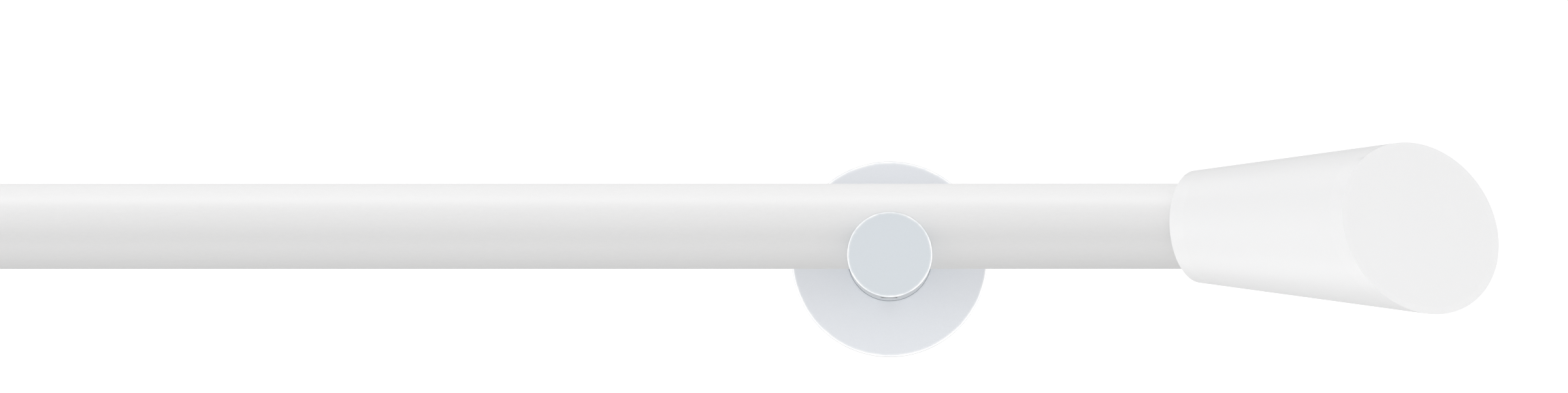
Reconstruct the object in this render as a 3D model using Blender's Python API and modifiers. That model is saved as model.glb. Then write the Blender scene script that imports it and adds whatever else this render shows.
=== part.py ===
"""Curtain rod with two wall brackets: a coated steel tube laid in two saddle arms, with a tapered,
slant-cut finial on each end.

Metres, +Z up. +X runs along the rod, the wall is the plane Y = 0 and the room is at -Y. The origin
lies on the wall, midway between the brackets and at the height of their arms.
"""

import math

import bmesh
import bpy

MM = 0.001
SIDES = {"left": -1, "right": 1}

# Gaps between neighbouring pieces
FIT = 0.3 * MM
CUT_OVERRUN = 2 * MM

# Rod
ROD_LENGTH = 600 * MM
ROD_DIAMETER = 20 * MM
ROD_WALL = 1 * MM
ROD_EDGE = 0.25 * MM

# Where the brackets hold it
BRACKET_SPACING = 417.4 * MM
ROD_TO_WALL = 80 * MM

# Arm
ARM_DIAMETER = 20 * MM
ARM_WALL_AT_SPIGOT = 3.7 * MM
ARM_WALL_BEFORE_ROD = 4.7 * MM
ARM_WALL_UNDER_ROD = 6.5 * MM
ARM_EDGE = 0.4 * MM

# Wall screws and plugs
WALL_SCREW_DIAMETER = 4 * MM
WALL_SCREW_LENGTH = 40 * MM
WALL_SCREW_HEAD = 7.6 * MM
WALL_SCREW_RIM = 0.4 * MM
WALL_SCREW_TIP = 5 * MM
CROSS_SPAN = 4.4 * MM
CROSS_WIDTH = 0.9 * MM
CROSS_ROOT = 1.5 * MM
CROSS_DEPTH = 1.8 * MM
PLUG_WALL = 0.7 * MM
PLUG_LENGTH = 30 * MM
PLUG_BELOW_WALL = 2.5 * MM
PLUG_SLIT = 1 * MM
PLUG_COLLAR = 9 * MM
PLUG_EDGE = 0.2 * MM

# Wall plate, with a grooved spigot that the arm is pushed on
PLATE_THICKNESS = 4 * MM
PLATE_RIM = 2.1 * MM
PLATE_EDGE = 0.5 * MM
SPIGOT_EDGE = 0.5 * MM
SPIGOT_PAST_GROOVE = 6 * MM
GROOVE_DEPTH = 0.6 * MM
GROOVE_FROM_ROSETTE = 6 * MM

# Rosette that covers the wall plate
ROSETTE_WALL = 1.5 * MM
ROSETTE_EDGE = 0.5 * MM
GAP_ROUND_PLATE = 2 * MM
GAP_BEFORE_PLATE = 2.5 * MM

# Set screws, as (diameter, length, hexagon across flats, hexagon depth)
ARM_SCREW = (4 * MM, 4 * MM, 2 * MM, 1.8 * MM)
ROD_SCREW = (5 * MM, 5 * MM, 2.5 * MM, 2.2 * MM)
FINIAL_SCREW = (4 * MM, 4 * MM, 2 * MM, 1.8 * MM)
SET_SCREW_EDGE = 0.4 * MM
PAD_THICKNESS = 1.2 * MM
PAD_EDGE = 0.2 * MM

# Finial, measured along its axis from the end of the rod
FINIAL_GRIP = 19.3 * MM
FINIAL_REACH = 30.9 * MM
FINIAL_WALL_AT_ROD_END = 5.5 * MM
FINIAL_TAPER = math.radians(7.8)
FINIAL_FACE_TILT = math.radians(43.3)
FINIAL_FACE_ROLL = math.radians(10)
FINIAL_MOUTH_TILT = math.radians(28.5)
FINIAL_MOUTH_ROLL = math.radians(4)
FINIAL_EDGE = 0.4 * MM
FINIAL_SCREW_FROM_ROD_END = 6 * MM

# Facets round a turned piece
WIDE_SEGMENTS = 56
NARROW_SEGMENTS = 20
HEXAGON = 6
SHARP_ANGLE = math.radians(30)

# What follows from the sizes above
ROD_RADIUS = ROD_DIAMETER / 2
SEAT_RADIUS = ROD_RADIUS + FIT
ARM_RADIUS = ARM_DIAMETER / 2
ARM_REAR = PLATE_THICKNESS + FIT
ARM_FRONT = ROD_TO_WALL + SEAT_RADIUS + ARM_WALL_BEFORE_ROD
ROD_ABOVE_ARM = SEAT_RADIUS + ARM_WALL_UNDER_ROD - ARM_RADIUS
WALL_SCREW_FROM_AXIS = ARM_RADIUS + FIT + WALL_SCREW_HEAD / 2
SCREW_LEVELS = {"upper": WALL_SCREW_FROM_AXIS, "lower": -WALL_SCREW_FROM_AXIS}
PLATE_RADIUS = WALL_SCREW_FROM_AXIS + WALL_SCREW_HEAD / 2 + PLATE_RIM
ROSETTE_RADIUS = PLATE_RADIUS + GAP_ROUND_PLATE + ROSETTE_WALL
ROSETTE_FRONT = PLATE_THICKNESS + GAP_BEFORE_PLATE + ROSETTE_WALL
SPIGOT_RADIUS = ARM_RADIUS - ARM_WALL_AT_SPIGOT - FIT
GROOVE_CENTRE = ROSETTE_FRONT + GROOVE_FROM_ROSETTE
SPIGOT_FRONT = GROOVE_CENTRE + SPIGOT_PAST_GROOVE
FINIAL_RADIUS_AT_ROD_END = SEAT_RADIUS + FINIAL_WALL_AT_ROD_END


def collection(name):
    made = bpy.data.collections.new(name)
    bpy.context.scene.collection.children.link(made)
    return made


def material(name, colour, roughness, metallic):
    made = bpy.data.materials.new(name)
    made.use_nodes = True
    shader = made.node_tree.nodes["Principled BSDF"]
    shader.inputs["Base Color"].default_value = (*colour, 1)
    shader.inputs["Roughness"].default_value = roughness
    shader.inputs["Metallic"].default_value = metallic
    made.diffuse_color = (*colour, 1)
    return made


for leftover in list(bpy.data.objects):
    bpy.data.objects.remove(leftover, do_unlink=True)
PARTS = collection("curtain_rod_with_brackets")
CUTTERS = collection("cutters")


def add(name, mesh, group, parent=None, location=(0, 0, 0), rotation=(0, 0, 0)):
    made = bpy.data.objects.new(name, mesh)
    made.parent = parent
    made.location = location
    made.rotation_euler = rotation
    group.objects.link(made)
    return made


def as_cutter(body):
    """Keeps a body only as a tool that cuts others."""
    body.hide_render = True
    body.display_type = "WIRE"
    return body


def cut(body, cutter):
    modifier = body.modifiers.new(cutter.name, "BOOLEAN")
    modifier.operation = "DIFFERENCE"
    modifier.solver = "EXACT"
    modifier.object = cutter


def turned(name, outline, group=PARTS, segments=WIDE_SEGMENTS, **place):
    """Spins (radius, height) points round local Z. They run down the outside, from top to bottom."""
    closed = outline[0][0] > 0
    bm = bmesh.new()
    points = [bm.verts.new((radius, 0, height)) for radius, height in outline]
    for first, second in zip(points, points[1:]):
        bm.edges.new((first, second))
    if closed:
        bm.edges.new((points[-1], points[0]))
    mesh = bpy.data.meshes.new(name)
    bm.to_mesh(mesh)
    bm.free()
    made = add(name, mesh, group, **place)
    screw = made.modifiers.new("turned", "SCREW")
    screw.axis = "Z"
    screw.steps = segments
    screw.render_steps = segments
    screw.use_merge_vertices = True
    screw.merge_threshold = 0.001 * MM
    return made


def prism(name, radius, bottom, top, segments, **place):
    """A cutter with a round or hexagonal section, from bottom to top along its local Z."""
    bm = bmesh.new()
    bmesh.ops.create_cone(
        bm, cap_ends=True, segments=segments, radius1=radius, radius2=radius, depth=top - bottom
    )
    bmesh.ops.translate(bm, verts=bm.verts, vec=(0, 0, (top + bottom) / 2))
    mesh = bpy.data.meshes.new(name)
    bm.to_mesh(mesh)
    bm.free()
    return as_cutter(add(name, mesh, CUTTERS, **place))


def block(name, low, high, **place):
    """A box-shaped cutter between two opposite corners."""
    bm = bmesh.new()
    bmesh.ops.create_cube(bm, size=1)
    bmesh.ops.scale(bm, verts=bm.verts, vec=[h - l for l, h in zip(low, high)])
    bmesh.ops.translate(bm, verts=bm.verts, vec=[(l + h) / 2 for l, h in zip(low, high)])
    mesh = bpy.data.meshes.new(name)
    bm.to_mesh(mesh)
    bm.free()
    return as_cutter(add(name, mesh, CUTTERS, **place))


def extruded(name, outline, thickness, **place):
    """A cutter with a flat outline, thickened evenly to both sides of its plane."""
    curve = bpy.data.curves.new(name, "CURVE")
    curve.dimensions = "2D"
    curve.fill_mode = "BOTH"
    curve.extrude = thickness / 2
    spline = curve.splines.new("POLY")
    spline.points.add(len(outline) - 1)
    for point, (across, up) in zip(spline.points, outline):
        point.co = (across, up, 0, 1)
    spline.use_cyclic_u = True
    drawn = add(name + "_outline", curve, CUTTERS, **place)
    bpy.context.view_layer.update()
    graph = bpy.context.evaluated_depsgraph_get()
    mesh = bpy.data.meshes.new_from_object(drawn.evaluated_get(graph))
    bm = bmesh.new()
    bm.from_mesh(mesh)
    bmesh.ops.remove_doubles(bm, verts=bm.verts, dist=0.001 * MM)
    bmesh.ops.recalc_face_normals(bm, faces=bm.faces)
    bm.to_mesh(mesh)
    bm.free()
    bpy.data.objects.remove(drawn)
    return as_cutter(add(name, mesh, CUTTERS, **place))


def tube_outline(outer, inner, bottom, top, edge):
    """The section of a tube with both its outer edges chamfered."""
    return [
        (inner, top),
        (outer - edge, top),
        (outer, top - edge),
        (outer, bottom + edge),
        (outer - edge, bottom),
        (inner, bottom),
    ]


def rod_tube(finish):
    made = turned(
        "rod_tube",
        tube_outline(ROD_RADIUS, ROD_RADIUS - ROD_WALL, -ROD_LENGTH / 2, ROD_LENGTH / 2, ROD_EDGE),
        location=(0, -ROD_TO_WALL, ROD_ABOVE_ARM),
        rotation=(0, math.radians(90), 0),
    )
    made.data.materials.append(finish)


def screw_tip_radius(size):
    return size[0] / 2 - FIT


def set_screw(name, size, finish, **place):
    """A headless screw. Its tip is at local Z = 0 and its hexagon opens at the far end, at +Z."""
    _, length, flats, depth = size
    radius = screw_tip_radius(size)
    outline = [
        (0, length),
        (radius - SET_SCREW_EDGE, length),
        (radius, length - SET_SCREW_EDGE),
        (radius, SET_SCREW_EDGE),
        (radius - SET_SCREW_EDGE, 0),
        (0, 0),
    ]
    made = turned(name, outline, segments=NARROW_SEGMENTS, **place)
    corner = flats / 2 / math.cos(math.pi / HEXAGON)
    cut(made, prism(name + "_hexagon", corner, length - depth, length + CUT_OVERRUN, HEXAGON, **place))
    made.data.materials.append(finish)


def wall_plate(side, bracket, finish):
    """A disc with a spigot. A groove round the spigot takes the tip of the arm's set screw."""
    groove_half = ARM_SCREW[0] / 2 + FIT
    outline = [
        (0, SPIGOT_FRONT),
        (SPIGOT_RADIUS - SPIGOT_EDGE, SPIGOT_FRONT),
        (SPIGOT_RADIUS, SPIGOT_FRONT - SPIGOT_EDGE),
        (SPIGOT_RADIUS, GROOVE_CENTRE + groove_half),
        (SPIGOT_RADIUS - GROOVE_DEPTH, GROOVE_CENTRE + groove_half),
        (SPIGOT_RADIUS - GROOVE_DEPTH, GROOVE_CENTRE - groove_half),
        (SPIGOT_RADIUS, GROOVE_CENTRE - groove_half),
        (SPIGOT_RADIUS, PLATE_THICKNESS),
        (PLATE_RADIUS - PLATE_EDGE, PLATE_THICKNESS),
        (PLATE_RADIUS, PLATE_THICKNESS - PLATE_EDGE),
        (PLATE_RADIUS, 0),
        (0, 0),
    ]
    made = turned(f"{side}_wall_plate", outline, parent=bracket)
    for level, up in SCREW_LEVELS.items():
        cut(made, screw_hole(f"{side}_{level}_screw_hole", bracket, up))
    made.data.materials.append(finish)


def screw_hole(name, bracket, up):
    """The cutter for a clearance hole with a countersink that the screw's head lies in."""
    hole = WALL_SCREW_DIAMETER / 2 + FIT
    head = WALL_SCREW_HEAD / 2 + FIT
    seat = PLATE_THICKNESS - WALL_SCREW_RIM - FIT
    outline = [
        (0, PLATE_THICKNESS + CUT_OVERRUN),
        (head, PLATE_THICKNESS + CUT_OVERRUN),
        (head, seat),
        (hole, seat - (head - hole)),
        (hole, -CUT_OVERRUN),
        (0, -CUT_OVERRUN),
    ]
    return as_cutter(
        turned(name, outline, CUTTERS, NARROW_SEGMENTS, parent=bracket, location=(0, up, 0))
    )


def wall_screw(side, level, bracket, finish):
    """A countersunk wood screw, its head flush with the front of the wall plate."""
    top = PLATE_THICKNESS
    head = WALL_SCREW_HEAD / 2
    radius = WALL_SCREW_DIAMETER / 2
    outline = [
        (0, top),
        (head, top),
        (head, top - WALL_SCREW_RIM),
        (radius, top - WALL_SCREW_RIM - (head - radius)),
        (radius, top - WALL_SCREW_LENGTH + WALL_SCREW_TIP),
        (0, top - WALL_SCREW_LENGTH),
    ]
    place = {"parent": bracket, "location": (0, SCREW_LEVELS[level], 0)}
    name = f"{side}_{level}_wall_screw"
    made = turned(name, outline, segments=NARROW_SEGMENTS, **place)
    root, half, arm = CROSS_ROOT / 2, CROSS_WIDTH / 2, CROSS_SPAN / 2
    quarter = [(root, root), (half, arm), (-half, arm)]
    cross = [
        (x * math.cos(turn) - y * math.sin(turn), x * math.sin(turn) + y * math.cos(turn))
        for turn in (math.radians(90 * step) for step in range(4))
        for x, y in quarter
    ]
    place["location"] = (0, SCREW_LEVELS[level], top)
    cut(made, extruded(name + "_recess", cross, 2 * CROSS_DEPTH, **place))
    made.data.materials.append(finish)


def wall_plug(side, level, bracket, finish):
    """A sleeve for the wall screw, slit in two behind its collar and set below the wall's face."""
    inner = WALL_SCREW_DIAMETER / 2 + FIT
    outer = inner + PLUG_WALL
    top = -PLUG_BELOW_WALL
    bottom = top - PLUG_LENGTH
    place = {"parent": bracket, "location": (0, SCREW_LEVELS[level], 0)}
    name = f"{side}_{level}_wall_plug"
    made = turned(
        name, tube_outline(outer, inner, bottom, top, PLUG_EDGE), segments=NARROW_SEGMENTS, **place
    )
    reach = outer + CUT_OVERRUN
    slit_low = (-reach, -PLUG_SLIT / 2, bottom - CUT_OVERRUN)
    slit_high = (reach, PLUG_SLIT / 2, top - PLUG_COLLAR)
    cut(made, block(name + "_slit", slit_low, slit_high, **place))
    made.data.materials.append(finish)


def rosette(side, bracket, finish):
    """A shallow cup, open to the wall, that slides on the arm."""
    inner = ROSETTE_RADIUS - ROSETTE_WALL
    hole = ARM_RADIUS + FIT
    floor = ROSETTE_FRONT - ROSETTE_WALL
    outline = [
        (hole, ROSETTE_FRONT),
        (ROSETTE_RADIUS - ROSETTE_EDGE, ROSETTE_FRONT),
        (ROSETTE_RADIUS, ROSETTE_FRONT - ROSETTE_EDGE),
        (ROSETTE_RADIUS, 0),
        (inner, 0),
        (inner, floor),
        (hole, floor),
    ]
    made = turned(f"{side}_rosette", outline, parent=bracket)
    made.data.materials.append(finish)


def saddle_outline():
    """A U as wide as the rod's seat, with its round bottom under the rod."""
    steps = WIDE_SEGMENTS // 2
    round_bottom = [
        (
            -SEAT_RADIUS * math.cos(math.pi * step / steps),
            -SEAT_RADIUS * math.sin(math.pi * step / steps),
        )
        for step in range(steps + 1)
    ]
    top = max(ARM_RADIUS - ROD_ABOVE_ARM, 0) + CUT_OVERRUN
    return [(-SEAT_RADIUS, top), *round_bottom, (SEAT_RADIUS, top)]


def arm(side, bracket, finish):
    """A solid bar, bored to fit the spigot, with a saddle for the rod and two set-screw holes."""
    bore = SPIGOT_RADIUS + FIT
    bore_end = SPIGOT_FRONT + FIT
    outline = [
        (0, ARM_FRONT),
        (ARM_RADIUS - ARM_EDGE, ARM_FRONT),
        (ARM_RADIUS, ARM_FRONT - ARM_EDGE),
        (ARM_RADIUS, ARM_REAR + ARM_EDGE),
        (ARM_RADIUS - ARM_EDGE, ARM_REAR),
        (bore, ARM_REAR),
        (bore, bore_end),
        (0, bore_end),
    ]
    made = turned(f"{side}_arm", outline, parent=bracket)
    saddle = extruded(
        f"{side}_saddle",
        saddle_outline(),
        ARM_DIAMETER + 2 * CUT_OVERRUN,
        parent=bracket,
        location=(0, ROD_ABOVE_ARM, ROD_TO_WALL),
        rotation=(0, math.radians(-90), 0),
    )
    cut(made, saddle)
    below = ARM_RADIUS + CUT_OVERRUN
    for label, size, out, up in (
        ("arm", ARM_SCREW, GROOVE_CENTRE, 0),
        ("rod", ROD_SCREW, ROD_TO_WALL, ROD_ABOVE_ARM - ROD_RADIUS),
    ):
        hole = prism(
            f"{side}_{label}_screw_hole",
            size[0] / 2,
            -up,
            below,
            NARROW_SEGMENTS,
            parent=bracket,
            location=(0, 0, out),
            rotation=(math.radians(90), 0, 0),
        )
        cut(made, hole)
    made.data.materials.append(finish)


def bracket_screws(side, bracket, steel, nylon):
    """Both screws rise from below: one locks the arm on its spigot, one presses the rod's pad."""
    downwards = (math.radians(90), 0, 0)
    tip = -(SPIGOT_RADIUS - GROOVE_DEPTH) - FIT
    set_screw(
        f"{side}_arm_set_screw",
        ARM_SCREW,
        steel,
        parent=bracket,
        location=(0, tip, GROOVE_CENTRE),
        rotation=downwards,
    )
    pad_top = ROD_ABOVE_ARM - ROD_RADIUS - FIT
    radius = screw_tip_radius(ROD_SCREW)
    outline = [
        (0, PAD_THICKNESS),
        (radius - PAD_EDGE, PAD_THICKNESS),
        (radius, PAD_THICKNESS - PAD_EDGE),
        (radius, PAD_EDGE),
        (radius - PAD_EDGE, 0),
        (0, 0),
    ]
    pad = turned(
        f"{side}_pressure_pad",
        outline,
        segments=NARROW_SEGMENTS,
        parent=bracket,
        location=(0, pad_top, ROD_TO_WALL),
        rotation=downwards,
    )
    pad.data.materials.append(nylon)
    set_screw(
        f"{side}_rod_set_screw",
        ROD_SCREW,
        steel,
        parent=bracket,
        location=(0, pad_top - PAD_THICKNESS - FIT, ROD_TO_WALL),
        rotation=downwards,
    )


def bracket_assembly(side, sign, finishes):
    """Local X runs along the rod, Y points up and Z points out of the wall."""
    bracket = add(
        f"{side}_bracket",
        None,
        PARTS,
        location=(sign * BRACKET_SPACING / 2, 0, 0),
        rotation=(math.radians(90), 0, 0),
    )
    wall_plate(side, bracket, finishes["zinc"])
    for level in SCREW_LEVELS:
        wall_screw(side, level, bracket, finishes["zinc"])
        wall_plug(side, level, bracket, finishes["plug"])
    rosette(side, bracket, finishes["satin"])
    arm(side, bracket, finishes["satin"])
    bracket_screws(side, bracket, finishes["steel"], finishes["nylon"])


def finial_radius(height):
    return FINIAL_RADIUS_AT_ROD_END + height * math.tan(FINIAL_TAPER)


def slant(name, height, tilt, roll, low, high, axis):
    """A cutter for what lies beyond a plane that crosses the finial's axis at a tilt."""
    half = (high - low) / 2
    return block(
        name,
        (-half, -half, low),
        (half, half, high),
        parent=axis,
        location=(0, 0, height),
        rotation=(tilt, 0, roll),
    )


def finial(side, sign, finish, steel):
    """A cone that widens away from the rod, cut off aslant at both ends and bored for the rod.

    Local Z points away from the rod and starts at its end. The face is tilted towards local -Y,
    which points into the room and slightly up. The set screw enters at local +Y, facing the wall.
    """
    roll = add(
        f"{side}_finial_roll",
        None,
        PARTS,
        location=(sign * ROD_LENGTH / 2, -ROD_TO_WALL, ROD_ABOVE_ARM),
        rotation=(-FINIAL_FACE_ROLL, 0, 0),
    )
    axis = add(
        f"{side}_finial_axis", None, PARTS, parent=roll, rotation=(0, sign * math.radians(90), 0)
    )
    widest = finial_radius(FINIAL_REACH) / (1 - math.tan(FINIAL_TAPER) * math.tan(FINIAL_FACE_TILT))
    top = FINIAL_REACH + widest * math.tan(FINIAL_FACE_TILT) + CUT_OVERRUN
    bottom = -FINIAL_GRIP - finial_radius(0) * math.tan(FINIAL_MOUTH_TILT) - CUT_OVERRUN
    outline = [
        (0, top),
        (finial_radius(top), top),
        (finial_radius(bottom), bottom),
        (SEAT_RADIUS, bottom),
        (SEAT_RADIUS, FIT),
        (0, FIT),
    ]
    name = f"{side}_finial"
    made = turned(name, outline, parent=axis)
    waste = 2 * (top - bottom)
    mouth_roll = FINIAL_FACE_ROLL - FINIAL_MOUTH_ROLL
    cut(made, slant(name + "_face_cut", FINIAL_REACH, FINIAL_FACE_TILT, 0, 0, waste, axis))
    cut(
        made,
        slant(name + "_mouth_cut", -FINIAL_GRIP, FINIAL_MOUTH_TILT, mouth_roll, -waste, 0, axis),
    )
    edges = made.modifiers.new("edges", "BEVEL")
    edges.width = FINIAL_EDGE
    edges.segments = 1
    edges.limit_method = "ANGLE"
    edges.angle_limit = SHARP_ANGLE
    outwards = (math.radians(-90), 0, 0)
    seat = (0, 0, -FINIAL_SCREW_FROM_ROD_END)
    hole = prism(
        name + "_screw_hole",
        FINIAL_SCREW[0] / 2,
        ROD_RADIUS - ROD_WALL,
        finial_radius(0) + CUT_OVERRUN,
        NARROW_SEGMENTS,
        parent=axis,
        location=seat,
        rotation=outwards,
    )
    cut(made, hole)
    made.data.materials.append(finish)
    set_screw(
        name + "_set_screw",
        FINIAL_SCREW,
        steel,
        parent=axis,
        location=(0, SEAT_RADIUS, -FINIAL_SCREW_FROM_ROD_END),
        rotation=outwards,
    )


def finish_mesh(body):
    """Gives the body the mesh that its modifiers make, smooth except at its real edges."""
    graph = bpy.context.evaluated_depsgraph_get()
    mesh = bpy.data.meshes.new_from_object(body.evaluated_get(graph))
    body.modifiers.clear()
    body.data = mesh
    mesh.name = body.name
    mesh.shade_smooth()
    mesh.set_sharp_from_angle(angle=SHARP_ANGLE)


def main():
    coat = material("white_powder_coat", (0.86, 0.86, 0.85), 0.45, 0.0)
    lacquer = material("white_lacquer", (0.9, 0.9, 0.9), 0.25, 0.0)
    finishes = {
        "satin": material("satin_aluminium", (0.7, 0.73, 0.75), 0.38, 0.9),
        "zinc": material("zinc_plated_steel", (0.62, 0.63, 0.64), 0.4, 1.0),
        "steel": material("dark_steel", (0.25, 0.25, 0.26), 0.35, 1.0),
        "plug": material("grey_plug_nylon", (0.4, 0.41, 0.42), 0.6, 0.0),
        "nylon": material("natural_nylon", (0.85, 0.83, 0.76), 0.55, 0.0),
    }
    rod_tube(coat)
    for side, sign in SIDES.items():
        bracket_assembly(side, sign, finishes)
        finial(side, sign, lacquer, finishes["steel"])
    bpy.context.view_layer.update()
    for body in [body for body in PARTS.objects if body.type == "MESH"]:
        finish_mesh(body)


main()
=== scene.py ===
import math
from collections import namedtuple

import bmesh
import bpy
from mathutils import Matrix, Vector


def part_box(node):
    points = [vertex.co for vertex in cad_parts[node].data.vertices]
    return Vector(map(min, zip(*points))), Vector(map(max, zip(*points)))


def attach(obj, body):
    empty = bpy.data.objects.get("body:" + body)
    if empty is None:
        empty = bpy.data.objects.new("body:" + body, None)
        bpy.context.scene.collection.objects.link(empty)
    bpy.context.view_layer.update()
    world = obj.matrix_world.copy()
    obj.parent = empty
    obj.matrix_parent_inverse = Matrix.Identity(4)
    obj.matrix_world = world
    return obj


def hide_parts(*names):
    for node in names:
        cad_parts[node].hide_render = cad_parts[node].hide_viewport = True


# The looks of a curtain rod with two wall brackets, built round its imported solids. Metres, +Z up,
# with +X along the rod, the wall at Y = 0 and the room at -Y.

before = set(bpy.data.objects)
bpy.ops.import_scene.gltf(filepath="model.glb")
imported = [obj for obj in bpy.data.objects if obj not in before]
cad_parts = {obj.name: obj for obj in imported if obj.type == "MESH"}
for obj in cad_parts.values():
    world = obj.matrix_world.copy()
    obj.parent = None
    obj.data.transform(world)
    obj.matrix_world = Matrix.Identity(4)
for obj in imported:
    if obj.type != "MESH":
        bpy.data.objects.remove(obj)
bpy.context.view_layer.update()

MM = 0.001
SIDES = {"left": -1, "right": 1}

# Sizes read from the frame
ROD_LOW, ROD_HIGH = (Vector(corner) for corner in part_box("rod_tube"))
ARM_LOW, ARM_HIGH = (Vector(corner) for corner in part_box("right_arm"))
PLATE_LOW, PLATE_HIGH = (Vector(corner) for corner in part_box("right_wall_plate"))
COVER_LOW, COVER_HIGH = (Vector(corner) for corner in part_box("right_rosette"))
ROD_RADIUS = (ROD_HIGH.z - ROD_LOW.z) / 2
ROD_AXIS = (ROD_LOW + ROD_HIGH) / 2
ROD_END = ROD_HIGH.x
ARM_RADIUS = (ARM_HIGH.x - ARM_LOW.x) / 2
ARM_X = (ARM_LOW.x + ARM_HIGH.x) / 2
ARM_REAR = -ARM_HIGH.y
ARM_FRONT = -ARM_LOW.y
PLATE_RADIUS = (PLATE_HIGH.x - PLATE_LOW.x) / 2
SPIGOT_FRONT = -PLATE_LOW.y
COVER_RADIUS = (COVER_HIGH.x - COVER_LOW.x) / 2
COVER_FRONT = -COVER_LOW.y
ROD_OUT = -ROD_AXIS.y
ROD_UP = ROD_AXIS.z

# Play between fitted pieces: as seen, as seen round the arms, and in the solids
GAP = 0.1 * MM
SLIDING_GAP = 0.04 * MM
CAD_GAP = 0.3 * MM

# Sizes that the solids keep but their boxes don't show
ROD_WALL = 1 * MM
PLATE_THICKNESS = 4 * MM
COVER_WALL = 1.5 * MM
ARM_WALL_AT_SPIGOT = 3.7 * MM
GROOVE_FROM_COVER = 6 * MM
GROOVE_DEPTH = 0.6 * MM
FINIAL_WALL = 5.5 * MM
FINIAL_GRIP = 19.3 * MM
FINIAL_REACH = 30.9 * MM
FINIAL_TAPER = math.radians(7.8)
FINIAL_FACE_TILT = math.radians(43.3)
FINIAL_FACE_ROLL = math.radians(10)
FINIAL_MOUTH_TILT = math.radians(28.5)
FINIAL_MOUTH_ROLL = math.radians(4)
FINIAL_SCREW_BACK = 6 * MM
GROOVE_CENTRE = COVER_FRONT + GROOVE_FROM_COVER
SPIGOT_RADIUS = ARM_RADIUS - ARM_WALL_AT_SPIGOT - CAD_GAP

# Wall screws and plugs
WALL_SCREW_DIAMETER = 4 * MM
WALL_SCREW_HEAD = 7.6 * MM
WALL_SCREW_RIM = 0.4 * MM
WALL_SCREW_TIP = 5 * MM
WALL_SCREW_FROM_AXIS = ARM_RADIUS + CAD_GAP + WALL_SCREW_HEAD / 2
WALL_SCREW_UPS = {"upper": WALL_SCREW_FROM_AXIS, "lower": -WALL_SCREW_FROM_AXIS}
CROSS_SPAN = 4.4 * MM
CROSS_WIDTH = 0.9 * MM
CROSS_DEPTH = 1.8 * MM
PLUG_WALL = 0.7 * MM
PLUG_LENGTH = 30 * MM
PLUG_BELOW_WALL = 2.5 * MM
PLUG_SLIT = 1 * MM
PLUG_COLLAR = 9 * MM
PLUG_RING_PITCH = 2 * MM

# Threads, and the set screws' hexagons
Thread = namedtuple("Thread", "diameter length pitch thread_depth crest flank flats drive_depth")
WALL_SCREW = Thread(WALL_SCREW_DIAMETER, 40 * MM, 1.8 * MM, 0.65 * MM, 0.06, 0.3, 0, 0)
ARM_SCREW = Thread(4 * MM, 4 * MM, 0.7 * MM, 0.4 * MM, 0.12, 0.75, 2 * MM, 1.8 * MM)
ROD_SCREW = Thread(5 * MM, 5 * MM, 0.8 * MM, 0.45 * MM, 0.12, 0.75, 2.5 * MM, 2.2 * MM)
ROD_SCREW_TIP_UP = -5 * MM
PAD_TOP_UP = -3.5 * MM
PAD_THICKNESS = 1.2 * MM

# Smoothness of round pieces, and the spacing of points next to edges and along pieces
ROUND = 144
SMALL_ROUND = 64
NARROW_ROUND = 48
FILLET_STEPS = 5
EDGE_BORDER = 0.4 * MM
ROW = 1.5 * MM
SHARP_ANGLE = math.radians(35)

# How far back from its front an arm's rim gets a bright painted highlight
FRONT_RIM = 1.3 * MM


# ---------------------------------------------------------------- camera

VIEW_WIDTH = 367.8 * MM
VIEW_CENTRE_ABOVE_ROD = 7 * MM
CAMERA_LENS = 300
CAMERA_SENSOR = 36
CAMERA_BELOW_ARM = 40 * MM


def add_camera():
    """Looks at the right half of the rod, squarely on to the right arm and from slightly below."""
    data = bpy.data.cameras.new("camera")
    data.lens = CAMERA_LENS
    data.sensor_width = CAMERA_SENSOR
    camera = bpy.data.objects.new("camera", data)
    bpy.context.scene.collection.objects.link(camera)
    away = VIEW_WIDTH * CAMERA_LENS / CAMERA_SENSOR
    target = Vector((VIEW_WIDTH / 2, -ROD_OUT, ROD_UP + VIEW_CENTRE_ABOVE_ROD))
    camera.location = (ARM_X, -ROD_OUT - away, -CAMERA_BELOW_ARM)
    camera.rotation_euler = (target - camera.location).to_track_quat("-Z", "Y").to_euler()
    bpy.context.scene.camera = camera


# ---------------------------------------------------------------- node helpers


def node(tree, kind, inputs=None, **settings):
    """Adds a node. Each input is either a value or the socket that feeds it."""
    made = tree.nodes.new(kind)
    for key, value in settings.items():
        setattr(made, key, value)
    for key, value in (inputs or {}).items():
        if isinstance(value, bpy.types.NodeSocket):
            tree.links.new(value, made.inputs[key])
        else:
            made.inputs[key].default_value = value
    return made


def calculate(tree, operation, *values):
    return node(tree, "ShaderNodeMath", dict(enumerate(values)), operation=operation).outputs[0]


def remap(tree, value, low, high, to_low, to_high):
    inputs = {"Value": value, "From Min": low, "From Max": high, "To Min": to_low, "To Max": to_high}
    return node(tree, "ShaderNodeMapRange", inputs).outputs["Result"]


def new_group(name, kind, inputs, outputs):
    """A node group with named inputs, as (name, socket type, default), and named outputs."""
    tree = bpy.data.node_groups.new(name, kind)
    for label, socket, default in inputs:
        made = tree.interface.new_socket(label, in_out="INPUT", socket_type=socket)
        if default is not None:
            made.default_value = default
    for label, socket in outputs:
        tree.interface.new_socket(label, in_out="OUTPUT", socket_type=socket)
    return tree, node(tree, "NodeGroupInput"), node(tree, "NodeGroupOutput")


# ---------------------------------------------------------------- surface effects shared by materials

FLOAT = "NodeSocketFloat"
VECTOR = "NodeSocketVector"


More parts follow.
